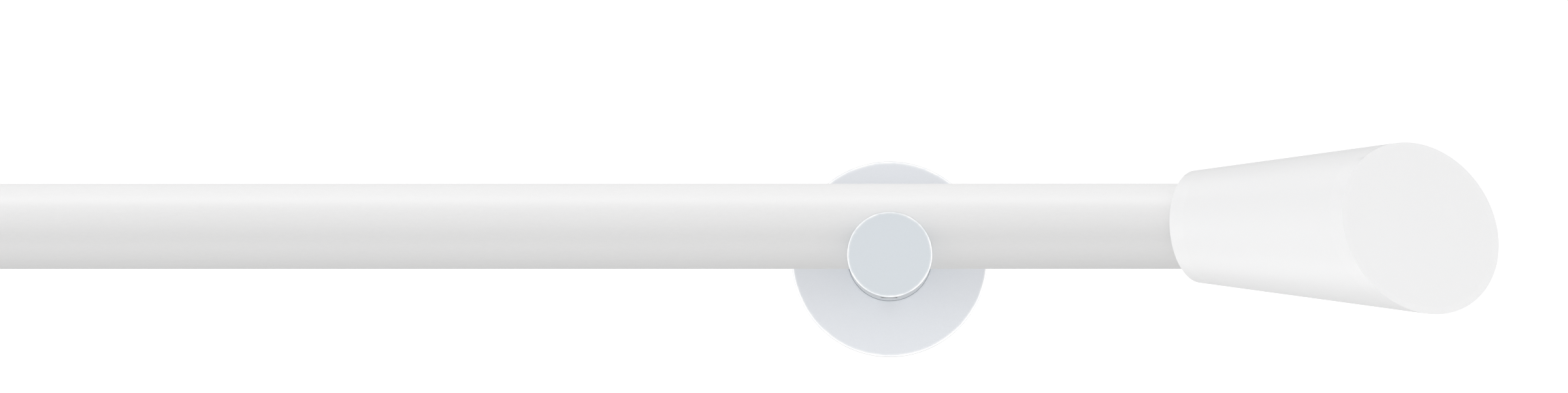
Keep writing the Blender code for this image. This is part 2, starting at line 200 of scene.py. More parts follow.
def grain_group():
    """Fine grain of a given size, which may be drawn out along one axis, over slow mottling."""
    tree, given, result = new_group(
        "grain",
        "ShaderNodeTree",
        [("Size", FLOAT, 0.3 * MM), ("Stretch", VECTOR, (1, 1, 1)), ("Mottle Size", FLOAT, 20 * MM)],
        [("Grain", FLOAT), ("Mottle", FLOAT)],
    )
    position = node(tree, "ShaderNodeTexCoord").outputs["Object"]
    drawn = node(
        tree, "ShaderNodeVectorMath", {0: position, 1: given.outputs["Stretch"]}, operation="MULTIPLY"
    )
    fine = node(
        tree,
        "ShaderNodeTexNoise",
        {
            "Vector": drawn.outputs[0],
            "Scale": calculate(tree, "DIVIDE", 1.0, given.outputs["Size"]),
            "Detail": 3.0,
            "Roughness": 0.6,
        },
    )
    slow = node(
        tree,
        "ShaderNodeTexNoise",
        {
            "Vector": position,
            "Scale": calculate(tree, "DIVIDE", 1.0, given.outputs["Mottle Size"]),
            "Detail": 2.0,
        },
    )
    tree.links.new(fine.outputs["Fac"], result.inputs["Grain"])
    tree.links.new(slow.outputs["Fac"], result.inputs["Mottle"])
    return tree


# Edge wear, and the painted edge highlight on bright rims, start at this pointiness, which is 0.5 on a
# flat face, and are full this much above it.
EDGE_START = 0.506
EDGE_WIDTH = 0.02


def edge_wear_and_highlight_group():
    """A mask of the convex edges, broken up in patches. It lightens edges as wear, and where the edge
    colour is near white it paints a highlight on the rim.
    """
    tree, given, result = new_group(
        "edge_wear_and_highlight",
        "ShaderNodeTree",
        [("Width", FLOAT, EDGE_WIDTH), ("Break Size", FLOAT, 3 * MM)],
        [("Mask", FLOAT)],
    )
    shape = node(tree, "ShaderNodeNewGeometry").outputs["Pointiness"]
    limit = calculate(tree, "ADD", EDGE_START, given.outputs["Width"])
    convex = remap(tree, shape, EDGE_START, limit, 0.0, 1.0)
    position = node(tree, "ShaderNodeTexCoord").outputs["Object"]
    patches = node(
        tree,
        "ShaderNodeTexNoise",
        {
            "Vector": position,
            "Scale": calculate(tree, "DIVIDE", 1.0, given.outputs["Break Size"]),
            "Detail": 4.0,
        },
    )
    kept = remap(tree, patches.outputs["Fac"], 0.4, 0.6, 0.35, 1.0)
    tree.links.new(calculate(tree, "MULTIPLY", convex, kept), result.inputs["Mask"])
    return tree


def dust_group():
    """A thin film of dust on what faces up."""
    tree, given, result = new_group(
        "dust",
        "ShaderNodeTree",
        [("Amount", FLOAT, 0.1), ("Clump Size", FLOAT, 1.5 * MM)],
        [("Mask", FLOAT)],
    )
    normal = node(tree, "ShaderNodeNewGeometry").outputs["Normal"]
    upward = node(tree, "ShaderNodeSeparateXYZ", {0: normal}).outputs["Z"]
    flat = remap(tree, upward, 0.6, 1.0, 0.0, 1.0)
    position = node(tree, "ShaderNodeTexCoord").outputs["Object"]
    clumps = node(
        tree,
        "ShaderNodeTexNoise",
        {
            "Vector": position,
            "Scale": calculate(tree, "DIVIDE", 1.0, given.outputs["Clump Size"]),
            "Detail": 5.0,
        },
    )
    thick = remap(tree, clumps.outputs["Fac"], 0.42, 0.7, 0.2, 1.0)
    film = calculate(tree, "MULTIPLY", flat, thick)
    mask = calculate(tree, "MULTIPLY", film, given.outputs["Amount"])
    tree.links.new(mask, result.inputs["Mask"])
    return tree


GRAIN = grain_group()
EDGE_WEAR_AND_HIGHLIGHT = edge_wear_and_highlight_group()
DUST = dust_group()
DUST_COLOUR = (0.62, 0.6, 0.56, 1)
DUST_ROUGHNESS = 0.3
MOTTLE_SHARE = 0.25
NOISE_SPAN = (0.3, 0.7)


# ---------------------------------------------------------------- materials


def tint(colour, factor):
    return (*(min(channel * factor, 1) for channel in colour), 1)


def mixed(tree, factor, first, second):
    """A blend of two colours by a factor."""
    made = node(tree, "ShaderNodeMix", data_type="RGBA")
    for key, value in ((0, factor), (6, first), (7, second)):
        if isinstance(value, bpy.types.NodeSocket):
            tree.links.new(value, made.inputs[key])
        else:
            made.inputs[key].default_value = value
    return made.outputs[2]


def surface(
    name,
    colour,
    roughness,
    grain_size,
    contrast=0.03,
    roughness_spread=0.06,
    bump=0.2,
    bump_height=0.01 * MM,
    stretch=(1, 1, 1),
    mottle_size=25 * MM,
    worn_and_highlit_edge_colour=None,
    dust=0.08,
    **constants,
):
    """A finish with grain in its colour, gloss and relief, edges lightened as wear and as painted
    highlight, and a little dust on top.
    """
    material = bpy.data.materials.new(name)
    material.use_nodes = True
    tree = material.node_tree
    shader = tree.nodes["Principled BSDF"]
    grain = node(tree, "ShaderNodeGroup", node_tree=GRAIN)
    grain.inputs["Size"].default_value = grain_size
    grain.inputs["Stretch"].default_value = stretch
    grain.inputs["Mottle Size"].default_value = mottle_size
    fleck, mottle = grain.outputs["Grain"], grain.outputs["Mottle"]
    fine = calculate(tree, "MULTIPLY", fleck, 1 - MOTTLE_SHARE)
    slow = calculate(tree, "MULTIPLY", mottle, MOTTLE_SHARE)
    even = calculate(tree, "ADD", fine, slow)
    shade = remap(tree, even, *NOISE_SPAN, 0.0, 1.0)
    base = mixed(tree, shade, tint(colour, 1 - contrast), tint(colour, 1 + contrast))
    edges = node(tree, "ShaderNodeGroup", node_tree=EDGE_WEAR_AND_HIGHLIGHT)
    # Lightens convex edges towards the edge colour: wear, and on near-white rims a painted highlight.
    worn_and_highlit = mixed(tree, edges.outputs["Mask"], base, (*(worn_and_highlit_edge_colour or colour), 1))
    film = node(tree, "ShaderNodeGroup", node_tree=DUST)
    film.inputs["Amount"].default_value = dust
    dusty = mixed(tree, film.outputs["Mask"], worn_and_highlit, DUST_COLOUR)
    tree.links.new(dusty, shader.inputs["Base Color"])
    rough = remap(tree, even, *NOISE_SPAN, roughness - roughness_spread, roughness + roughness_spread)
    dusted = calculate(tree, "MULTIPLY", film.outputs["Mask"], DUST_ROUGHNESS)
    dull = calculate(tree, "ADD", rough, dusted)
    tree.links.new(dull, shader.inputs["Roughness"])
    relief = node(
        tree, "ShaderNodeBump", {"Height": fleck, "Strength": bump, "Distance": bump_height}
    )
    tree.links.new(relief.outputs["Normal"], shader.inputs["Normal"])
    for socket, value in constants.items():
        shader.inputs[socket.replace("_", " ").title()].default_value = value
    return material


def make_materials():
    satin = {
        "grain_size": 0.3 * MM,
        "contrast": 0.012,
        "roughness_spread": 0.01,
        "bump": 0.1,
        "bump_height": 0.002 * MM,
        "mottle_size": 60 * MM,
        "dust": 0.03,
        "metallic": 0.95,
    }
    arm = {"colour": (0.675, 0.715, 0.75), "roughness": 0.34, **satin}
    return {
        "coat": surface(
            "satin_powder_coat",
            colour=(0.717, 0.715, 0.716),
            roughness=0.42,
            grain_size=0.5 * MM,
            contrast=0.012,
            bump=0.25,
            bump_height=0.006 * MM,
            stretch=(0.3, 1, 1),
            mottle_size=60 * MM,
            worn_and_highlit_edge_colour=(0.82, 0.82, 0.82),
            dust=0.03,
        ),
        "bore": surface(
            "drawn_steel_bore",
            colour=(0.42, 0.42, 0.43),
            roughness=0.4,
            grain_size=0.4 * MM,
            contrast=0.15,
            stretch=(0.05, 1, 1),
            dust=0.0,
            metallic=1.0,
        ),
        # Its slightly lighter edge colour paints a faint highlight on the finial's rims.
        "lacquer": surface(
            "white_gloss_lacquer",
            colour=(0.93, 0.93, 0.935),
            roughness=0.3,
            grain_size=14 * MM,
            contrast=0.005,
            roughness_spread=0.02,
            bump=0.1,
            bump_height=0.02 * MM,
            mottle_size=40 * MM,
            worn_and_highlit_edge_colour=(0.94, 0.94, 0.945),
            dust=0.02,
            coat_weight=0.35,
            coat_roughness=0.07,
        ),
        # The front copy's near-white edge colour paints a highlight on the arm's front rim; the side
        # copy only lightens its edges a little.
        "satin": surface("satin_aluminium", worn_and_highlit_edge_colour=(0.94, 0.95, 0.96), **arm),
        "satin_side": surface("satin_aluminium_side", worn_and_highlit_edge_colour=(0.71, 0.75, 0.78), **arm),
        # Its white edge colour paints a highlight on the rosette's rims.
        "cover": surface(
            "pale_satin_aluminium",
            colour=(0.845, 0.865, 0.9),
            roughness=0.38,
            worn_and_highlit_edge_colour=(1, 1, 1),
            **satin,
        ),
        "zinc": surface(
            "bright_zinc_plate",
            colour=(0.66, 0.67, 0.69),
            roughness=0.3,
            grain_size=0.6 * MM,
            contrast=0.05,
            worn_and_highlit_edge_colour=(0.72, 0.73, 0.75),
            mottle_size=8 * MM,
            metallic=1.0,
        ),
        "black": surface(
            "blackened_steel",
            colour=(0.11, 0.11, 0.115),
            roughness=0.36,
            grain_size=0.3 * MM,
            contrast=0.2,
            worn_and_highlit_edge_colour=(0.35, 0.35, 0.36),
            mottle_size=2 * MM,
            metallic=0.9,
        ),
        "plug": surface(
            "grey_moulded_nylon",
            colour=(0.36, 0.37, 0.38),
            roughness=0.55,
            grain_size=0.5 * MM,
            contrast=0.06,
            worn_and_highlit_edge_colour=(0.5, 0.51, 0.52),
            mottle_size=5 * MM,
        ),
        "nylon": surface(
            "natural_nylon",
            colour=(0.84, 0.82, 0.74),
            roughness=0.5,
            grain_size=0.3 * MM,
            contrast=0.04,
            worn_and_highlit_edge_colour=(0.9, 0.89, 0.84),
            mottle_size=2 * MM,
        ),
    }


# ---------------------------------------------------------------- mesh helpers


def filleted(outline):
    """A section with rounded corners, from (radius, height) or (radius, height, fillet) points."""
    rounded = []
    count = len(outline)
    for number, corner in enumerate(outline):
        here = Vector(corner[:2])
        fillet = corner[2] if len(corner) > 2 else 0
        if not fillet:
            rounded.append(here)
            continue
        before = (Vector(outline[number - 1][:2]) - here).normalized()
        after = (Vector(outline[(number + 1) % count][:2]) - here).normalized()
        half = before.angle(after) / 2
        centre = here + (before + after).normalized() * (fillet / math.sin(half))
        first = here + before * (fillet / math.tan(half)) - centre
        last = here + after * (fillet / math.tan(half)) - centre
        sweep = first.angle_signed(last)
        for step in range(FILLET_STEPS + 1):
            turn = -sweep * step / FILLET_STEPS
            rounded.append(centre + Matrix.Rotation(turn, 2) @ first)
    return rounded


def close_up(bm):
    """Joins seams and poles, and turns every face outwards."""
    bmesh.ops.remove_doubles(bm, verts=bm.verts, dist=0.0005 * MM)
    bmesh.ops.recalc_face_normals(bm, faces=bm.faces)


def to_mesh(bm, name):
    mesh = bpy.data.meshes.new(name)
    bm.to_mesh(mesh)
    bm.free()
    return mesh


def spun(name, outline, segments=ROUND, rows=None):
    """Spins a section round Z. It is closed, or starts and ends on the axis.

    The first column stands a third of a step off X, so that no two columns mirror each other
    in a diagonal.
    """
    points = filleted(outline)
    closed = points[0].x > 0
    points = with_borders(points, closed)
    if rows:
        points = with_rows(points, rows)
    bm = bmesh.new()
    start = math.tau / segments / 3
    x, y = math.cos(start), math.sin(start)
    verts = [bm.verts.new((point.x * x, point.x * y, point.y)) for point in points]
    edges = [bm.edges.new(pair) for pair in zip(verts, verts[1:])]
    if closed:
        edges.append(bm.edges.new((verts[-1], verts[0])))
    bmesh.ops.spin(
        bm,
        geom=verts + edges,
        cent=(0, 0, 0),
        axis=(0, 0, 1),
        angle=2 * math.pi,
        steps=segments,
        use_merge=True,
    )
    close_up(bm)
    return to_mesh(bm, name)


def with_borders(points, closed):
    """Adds two points close to the corners of every long stretch, so that edge wear and the painted
    edge highlight stay narrow.
    """
    bordered = []
    following = points[1:] + (points[:1] if closed else [])
    for first, second in zip(points, following):
        bordered.append(first)
        length = (second - first).length
        if length < 5 * EDGE_BORDER:
            continue
        near = (EDGE_BORDER, 2 * EDGE_BORDER) if first.x else ()
        far = (length - 2 * EDGE_BORDER, length - EDGE_BORDER) if second.x else ()
        bordered += [first.lerp(second, along / length) for along in (*near, *far)]
    return bordered if closed else bordered + [points[-1]]


def with_rows(points, spacing):
    """Adds points along every stretch longer than the spacing, but not along the closing one."""
    dense = []
    for first, second in zip(points, points[1:]):
        parts = max(1, round((second - first).length / spacing))
        dense += [first.lerp(second, part / parts) for part in range(parts)]
    return dense + [points[-1]]


def bar(name, outline, length):
    """A cutter with a flat outline, drawn out evenly to both sides along X in rows."""
    bm = bmesh.new()
    rows = max(1, round(length / ROW))
    rings = [
        [bm.verts.new((length * (row / rows - 0.5), up, out)) for out, up in outline]
        for row in range(rows + 1)
    ]
    for near, far in zip(rings, rings[1:]):
        for first, second in zip(range(len(outline)), (*range(1, len(outline)), 0)):
            bm.faces.new((near[first], near[second], far[second], far[first]))
    bm.faces.new(rings[0])
    bm.faces.new(rings[-1])
    close_up(bm)
    return to_mesh(bm, name)


def drill(name, radius, low, high, matrix):
    """A round cutter from low to high along its own Z, put in place by a matrix."""
    bm = bmesh.new()
    bmesh.ops.create_cone(
        bm,
        cap_ends=True,
        segments=SMALL_ROUND,
        radius1=radius,
        radius2=radius,
        depth=high - low,
        matrix=matrix @ Matrix.Translation((0, 0, (low + high) / 2)),
    )
    return to_mesh(bm, name)


def loose(mesh):
    """A throwaway object that carries a mesh while it is worked on."""
    made = bpy.data.objects.new(mesh.name, mesh)
    bpy.context.scene.collection.objects.link(made)
    return made


def baked(piece, *helpers):
    """The mesh that the piece's modifiers make. The piece and its helpers are removed."""
    bpy.context.view_layer.update()
    graph = bpy.context.evaluated_depsgraph_get()
    mesh = bpy.data.meshes.new_from_object(piece.evaluated_get(graph))
    for used in (piece, *helpers):
        bpy.data.objects.remove(used)
    return mesh


def cut(mesh, cutters, edge, segments=3):
    """Cuts the mesh, then rounds the edges that are left."""
    piece = loose(mesh)
    tools = [loose(cutter) for cutter in cutters]
    for tool in tools:
        modifier = piece.modifiers.new(tool.name, "BOOLEAN")
        modifier.operation = "DIFFERENCE"
        modifier.solver = "EXACT"
        modifier.object = tool
    add_rounding(piece, edge, segments)
    return baked(piece, *tools)


def add_rounding(piece, width, segments):
    modifier = piece.modifiers.new("rounded_edges", "BEVEL")
    modifier.width = width
    modifier.segments = segments
    modifier.limit_method = "ANGLE"
    modifier.angle_limit = SHARP_ANGLE


def smoothed(mesh):
    """Smooth shading that leaves flat faces flat, and sharp edges sharp."""
    mesh.shade_smooth()
    mesh.set_sharp_from_angle(angle=SHARP_ANGLE)
    piece = loose(mesh)
    modifier = piece.modifiers.new("flat_faces", "WEIGHTED_NORMAL")
    modifier.mode = "FACE_AREA"
    modifier.weight = 50
    modifier.keep_sharp = True
    return baked(piece)


def upright(x):
    """The place of a bracket: its own Z points out of the wall and its own Y points up."""
    return Matrix.Translation((x, 0, 0)) @ Matrix.Rotation(math.radians(90), 4, "X")


def place(name, mesh, matrix, body, cad_node, slot, *materials):
    """Puts a copy of a mesh in its place as a piece that stands for a CAD node."""
    shape = mesh.copy()
    shape.name = name
    shape.transform(matrix)
    shape = smoothed(shape)
    if materials:
        shape.materials.clear()
        for material in materials:
            shape.materials.append(material)
    made = bpy.data.objects.new(name, shape)
    bpy.context.scene.collection.objects.link(made)
    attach(made, body)
    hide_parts(cad_node)
    return made


# ---------------------------------------------------------------- geometry node trees

GEOMETRY = "NodeSocketGeometry"
WHOLE = "NodeSocketInt"
SWITCH = "NodeSocketBool"
FINISH = "NodeSocketMaterial"


def moved_by(tree, geometry, **inputs):
    """Moves, turns or scales geometry."""
    given = {key.title(): value for key, value in inputs.items()}
    return node(tree, "GeometryNodeTransform", {"Geometry": geometry, **given}).outputs[0]


def joined_vector(tree, x=0.0, y=0.0, z=0.0):
    return node(tree, "ShaderNodeCombineXYZ", {0: x, 1: y, 2: z}).outputs[0]


def without(tree, body, *cutters):
    """Cuts each of the cutters from the body."""
    made = node(tree, "GeometryNodeMeshBoolean", {0: body}, operation="DIFFERENCE", solver="EXACT")
    for cutter in cutters:
        tree.links.new(cutter, made.inputs[1])
    return made.outputs[0]


def end_tree(tree, geometry, finish, result):
    real = node(tree, "GeometryNodeRealizeInstances", {0: geometry}).outputs[0]
    dressed = node(tree, "GeometryNodeSetMaterial", {"Geometry": real, "Material": finish})
    tree.links.new(dressed.outputs[0], result.inputs[0])


def ridges_group():
    """Presses rings or a thread into a bar along Z, between two heights and outside a core."""
    tree, given, result = new_group(
        "ridges",
        "GeometryNodeTree",
        [
            ("Bar", GEOMETRY, None),
            ("Pitch", FLOAT, 1 * MM),
            ("Starts", WHOLE, 1),
            ("Share Of Radius", FLOAT, 0.1),
            ("Crest", FLOAT, 0.1),
            ("Flank", FLOAT, 0.8),
            ("Low", FLOAT, 0.0),
            ("High", FLOAT, 5 * MM),
            ("Core", FLOAT, 0.0),
            ("Finish", FINISH, None),
        ],
        [("Ridged Bar", GEOMETRY)],
    )
    value = given.outputs
    position = node(tree, "GeometryNodeInputPosition").outputs[0]
    split = node(tree, "ShaderNodeSeparateXYZ", {0: position}).outputs
    angle = calculate(tree, "ARCTAN2", split["Y"], split["X"])
    turn = calculate(tree, "MULTIPLY", calculate(tree, "DIVIDE", angle, math.tau), value["Starts"])
    along = calculate(tree, "DIVIDE", split["Z"], value["Pitch"])
    phase = calculate(tree, "FRACT", calculate(tree, "SUBTRACT", along, turn))
    doubled = calculate(tree, "MULTIPLY", phase, 2.0)
    wave = calculate(tree, "ABSOLUTE", calculate(tree, "SUBTRACT", doubled, 1.0))
    foot = calculate(tree, "ADD", value["Crest"], value["Flank"])
    valley = remap(tree, wave, value["Crest"], foot, 0.0, 1.0)
    above = remap(
        tree,
        split["Z"],
        value["Low"],
        calculate(tree, "ADD", value["Low"], value["Pitch"]),
        0.0,
        1.0,
    )
    below = remap(
        tree,
        split["Z"],
        value["High"],
        calculate(tree, "SUBTRACT", value["High"], calculate(tree, "MULTIPLY", value["Pitch"], 0.5)),
        0.0,
        1.0,
    )
    flat = joined_vector(tree, split["X"], split["Y"])
    radius = node(tree, "ShaderNodeVectorMath", {0: flat}, operation="LENGTH").outputs["Value"]
    outside = calculate(tree, "GREATER_THAN", radius, value["Core"])
    press = calculate(tree, "MULTIPLY", above, below)
    press = calculate(tree, "MULTIPLY", press, outside)
    press = calculate(tree, "MULTIPLY", press, valley)
    press = calculate(tree, "MULTIPLY", press, value["Share Of Radius"])
    back = calculate(tree, "MULTIPLY", press, -1.0)
    inward = node(tree, "ShaderNodeVectorMath", {0: flat, "Scale": back}, operation="SCALE").outputs[0]
    pressed = node(tree, "GeometryNodeSetPosition", {"Geometry": value["Bar"], "Offset": inward})
    end_tree(tree, pressed.outputs[0], value["Finish"], result)
    return tree


def drive_group():
    """Sinks a tapered drive recess into the top of a screw. It has flat sides, or is a cross."""
    tree, given, result = new_group(
        "drive_recess",
        "GeometryNodeTree",
        [
            ("Screw", GEOMETRY, None),
            ("Corners", WHOLE, 6),
            ("Radius", FLOAT, 1 * MM),
            ("Floor Radius", FLOAT, 1 * MM),
            ("Floor", FLOAT, 0.0),
            ("Height", FLOAT, 4 * MM),
            ("Width Share", FLOAT, 1.0),
            ("Crossed", SWITCH, False),
            ("Finish", FINISH, None),
        ],
        [("Finished Screw", GEOMETRY)],
    )
    value = given.outputs
    bit = node(
        tree,
        "GeometryNodeMeshCone",
        {
            "Vertices": value["Corners"],
            "Radius Top": value["Radius"],
            "Radius Bottom": value["Floor Radius"],
            "Depth": value["Height"],
        },
    ).outputs["Mesh"]
    turned = moved_by(tree, bit, rotation=(0, 0, math.radians(45)))
    blade = moved_by(
        tree,
        turned,
        translation=joined_vector(tree, z=value["Floor"]),
        scale=joined_vector(tree, 1.0, value["Width Share"], 1.0),
    )
    across = moved_by(tree, blade, rotation=(0, 0, math.radians(90)))
    second = node(
        tree, "GeometryNodeSwitch", {"Switch": value["Crossed"], "True": across}, input_type="GEOMETRY"
    )
    cut_open = without(tree, value["Screw"], blade, second.outputs[0])
    end_tree(tree, cut_open, value["Finish"], result)
    return tree


def slant_cone_group():
    """A cone round Z between two slanted planes, bored from its mouth and drilled from its side.

    Every point keeps its angle and its share of the radius. Its height is read from the planes,
    and its radius from the height of the rim.
    """
    tree, given, result = new_group(
        "slant_cut_cone",
        "GeometryNodeTree",
        [
            ("Facets", WHOLE, ROUND),
            ("Rows", WHOLE, 24),
            ("Radius", FLOAT, 15 * MM),
            ("Widening", FLOAT, 0.1),
            ("Face Height", FLOAT, 30 * MM),
            ("Face Slope", FLOAT, 0.9),
            ("Mouth Height", FLOAT, -20 * MM),
            ("Mouth Slope", FLOAT, 0.5),
            ("Mouth Turn", FLOAT, 0.0),
            ("Bore Radius", FLOAT, 10 * MM),
            ("Bore Floor", FLOAT, 0.0),
            ("Screw Radius", FLOAT, 2 * MM),
            ("Screw Height", FLOAT, -6 * MM),
            ("Finish", FINISH, None),
        ],
        [("Cone", GEOMETRY)],
    )
    value = given.outputs
    blank = node(
        tree,
        "GeometryNodeMeshCylinder",
        {
            "Vertices": value["Facets"],
            "Side Segments": value["Rows"],
            "Fill Segments": value["Rows"],
            "Radius": 1.0,
            "Depth": 1.0,
        },
        fill_type="TRIANGLE_FAN",
    ).outputs["Mesh"]
    position = node(tree, "GeometryNodeInputPosition").outputs[0]
    split = node(tree, "ShaderNodeSeparateXYZ", {0: position}).outputs
    angle = calculate(tree, "ARCTAN2", split["Y"], split["X"])

    def height_on(plane_height, slope, turn):
        lean = calculate(tree, "SINE", calculate(tree, "SUBTRACT", angle, turn))
        steep = calculate(tree, "MULTIPLY", slope, lean)
        top = calculate(tree, "MULTIPLY_ADD", steep, value["Radius"], plane_height)
        under = calculate(tree, "MULTIPLY", steep, value["Widening"])
        return calculate(tree, "DIVIDE", top, calculate(tree, "SUBTRACT", 1.0, under))

    face = height_on(value["Face Height"], value["Face Slope"], 0.0)
    mouth = height_on(value["Mouth Height"], value["Mouth Slope"], value["Mouth Turn"])
    rim_height = remap(tree, split["Z"], -0.5, 0.5, mouth, face)
    axis_height = remap(tree, split["Z"], -0.5, 0.5, value["Mouth Height"], value["Face Height"])
    flat = joined_vector(tree, split["X"], split["Y"])
    share = node(tree, "ShaderNodeVectorMath", {0: flat}, operation="LENGTH").outputs["Value"]
    rise = calculate(tree, "SUBTRACT", rim_height, axis_height)
    height = calculate(tree, "MULTIPLY_ADD", share, rise, axis_height)
    radius = calculate(tree, "MULTIPLY_ADD", rim_height, value["Widening"], value["Radius"])
    x = calculate(tree, "MULTIPLY", radius, split["X"])
    y = calculate(tree, "MULTIPLY", radius, split["Y"])
    rounded = joined_vector(tree, x, y, height)
    shaped = node(tree, "GeometryNodeSetPosition", {"Geometry": blank, "Position": rounded}).outputs[0]
    long_bar = 100 * MM
    rod_way = node(
        tree,
        "GeometryNodeMeshCylinder",
        {"Vertices": value["Facets"], "Radius": value["Bore Radius"], "Depth": long_bar},
        fill_type="NGON",
    ).outputs["Mesh"]
    down = calculate(tree, "SUBTRACT", value["Bore Floor"], long_bar / 2)
    rod_way = moved_by(tree, rod_way, translation=joined_vector(tree, z=down))
    screw_way = node(
        tree,
        "GeometryNodeMeshCylinder",
        {"Vertices": SMALL_ROUND, "Radius": value["Screw Radius"], "Depth": long_bar},
        fill_type="NGON",
    ).outputs["Mesh"]
    inner = calculate(tree, "MULTIPLY", value["Bore Radius"], 0.8)
    screw_way = moved_by(
        tree,
        screw_way,
        rotation=(math.radians(-90), 0, 0),
        translation=joined_vector(
            tree, 0.0, calculate(tree, "ADD", inner, long_bar / 2), value["Screw Height"]
        ),
    )
    end_tree(tree, without(tree, shaped, rod_way, screw_way), value["Finish"], result)
    return tree


def run_tree(piece, tree, **values):
    """Adds a tree as a modifier and sets its inputs, which are written with underscores."""
    modifier = piece.modifiers.new(tree.name, "NODES")
    modifier.node_group = tree
    sockets = {item.name: item.identifier for item in tree.interface.items_tree}
    for label, value in values.items():
        modifier[sockets[label.replace("_", " ").title()]] = value


RIDGES = ridges_group()
DRIVE = drive_group()
SLANT_CONE = slant_cone_group()


# ---------------------------------------------------------------- rod and finials


def add_rod(materials):
    """A coated tube, bare steel inside."""
    outer, inner, half = ROD_RADIUS, ROD_RADIUS - ROD_WALL, (ROD_HIGH.x - ROD_LOW.x) / 2
    outline = [
        (inner, half, 0.15 * MM),
        (outer, half, 0.3 * MM),
        (outer, -half, 0.3 * MM),
        (inner, -half, 0.15 * MM),
    ]
    mesh = spun("rod", outline, rows=25 * MM)
    mesh.materials.append(materials["coat"])
    mesh.materials.append(materials["bore"])
    for face in mesh.polygons:
        face.material_index = math.hypot(*face.center[:2]) < outer - ROD_WALL / 2
    matrix = Matrix.Translation(ROD_AXIS) @ Matrix.Rotation(math.radians(90), 4, "Y")
    place("rod", mesh, matrix, "rod", "rod_tube", "white_powder_coat")


def finial_place(sign):
    """The finial's own Z points away from the rod and starts at its end."""
    return (
        Matrix.Translation((sign * ROD_END, -ROD_OUT, ROD_UP))
        @ Matrix.Rotation(-FINIAL_FACE_ROLL, 4, "X")
        @ Matrix.Rotation(sign * math.radians(90), 4, "Y")
    )


def add_finials(materials):
    piece = loose(bpy.data.meshes.new("finial"))
    run_tree(
        piece,
        SLANT_CONE,
        radius=ROD_RADIUS + CAD_GAP + FINIAL_WALL,
        widening=math.tan(FINIAL_TAPER),
        face_height=FINIAL_REACH,
        face_slope=math.tan(FINIAL_FACE_TILT),
        mouth_height=-FINIAL_GRIP,
        mouth_slope=math.tan(FINIAL_MOUTH_TILT),
        mouth_turn=FINIAL_FACE_ROLL - FINIAL_MOUTH_ROLL,
        bore_radius=ROD_RADIUS + GAP,
        bore_floor=CAD_GAP,
        screw_radius=2 * MM,
        screw_height=-FINIAL_SCREW_BACK,
        finish=materials["lacquer"],
    )
    add_rounding(piece, 0.45 * MM, 4)
    mesh = baked(piece)
    for side, sign in SIDES.items():
        name = f"{side}_finial"
        place(f"{side}_slanted_finial", mesh, finial_place(sign), name, name, "white_lacquer")


# ---------------------------------------------------------------- brackets


def add_rosettes(materials):
    """Shallow cups with rounded rims, open to the wall."""
    floor = COVER_FRONT - COVER_WALL
    inner = COVER_RADIUS - COVER_WALL
    hole = ARM_RADIUS + SLIDING_GAP
    outline = [
        (hole, COVER_FRONT, 0.12 * MM),
        (COVER_RADIUS, COVER_FRONT, 0.55 * MM),
        (COVER_RADIUS, 0, 0.2 * MM),
        (inner, 0, 0.2 * MM),
        (inner, floor, 0.6 * MM),
        (hole, floor, 0.1 * MM),
    ]
    mesh = spun("rosette", outline, rows=ROW)
    for side, sign in SIDES.items():
        name = f"{side}_rosette"
        matrix = upright(sign * ARM_X)
        place(f"{side}_wall_cover", mesh, matrix, name, name, "satin_aluminium", materials["cover"])


def saddle_outline():
    """(out, up) points of the rod's seat, open upwards."""
    seat = ROD_RADIUS + GAP
    steps = ROUND // 2
    arc = [math.pi * (1 + step / steps) for step in range(steps + 1)]
    bottom = [(ROD_OUT + seat * math.cos(turn), ROD_UP + seat * math.sin(turn)) for turn in arc]
    top = ARM_RADIUS + 2 * MM
    return [(ROD_OUT - seat, top), *bottom, (ROD_OUT + seat, top)]


def add_arms(materials):
    """Satin bars, bored for the spigot and cut away for the rod, with two screw holes below.

    Only the rim at the front gets a bright painted highlight.
    """
    bore = SPIGOT_RADIUS + GAP
    bore_end = SPIGOT_FRONT + CAD_GAP
    outline = [
        (0, ARM_FRONT),
        (ARM_RADIUS, ARM_FRONT, 0.45 * MM),
        (ARM_RADIUS, ARM_REAR, 0.3 * MM),
        (bore, ARM_REAR, 0.3 * MM),
        (bore, bore_end),
        (0, bore_end),
    ]
    blank = spun("arm", outline, rows=ROW)
    down = Matrix.Rotation(math.radians(90), 4, "X")
    at_rod = Matrix.Translation((0, 0, ROD_OUT))
    at_groove = Matrix.Translation((0, 0, GROOVE_CENTRE))
    within, below = 2 * MM, ARM_RADIUS + 3 * MM
    cutters = [
        bar("seat", saddle_outline(), 4 * ARM_RADIUS),
        drill("rod_screw_way", ROD_SCREW.diameter / 2, within, below, at_rod @ down),
        drill("arm_screw_way", ARM_SCREW.diameter / 2, within, below, at_groove @ down),
    ]
    mesh = cut(blank, cutters, edge=0.2 * MM)
    mesh.materials.clear()
    mesh.materials.append(materials["satin"])
    mesh.materials.append(materials["satin_side"])
    # Faces near the front take the satin whose near-white edge colour paints a highlight on the rim;
    # the rest take the side copy, with edges only a little lighter.
    for face in mesh.polygons:
        face.material_index = face.center.z < ARM_FRONT - FRONT_RIM
    for side, sign in SIDES.items():
        matrix = upright(sign * ARM_X)
        name = f"{side}_saddle_arm"
        place(name, mesh, matrix, "wall_fixings", f"{side}_arm", "satin_aluminium")


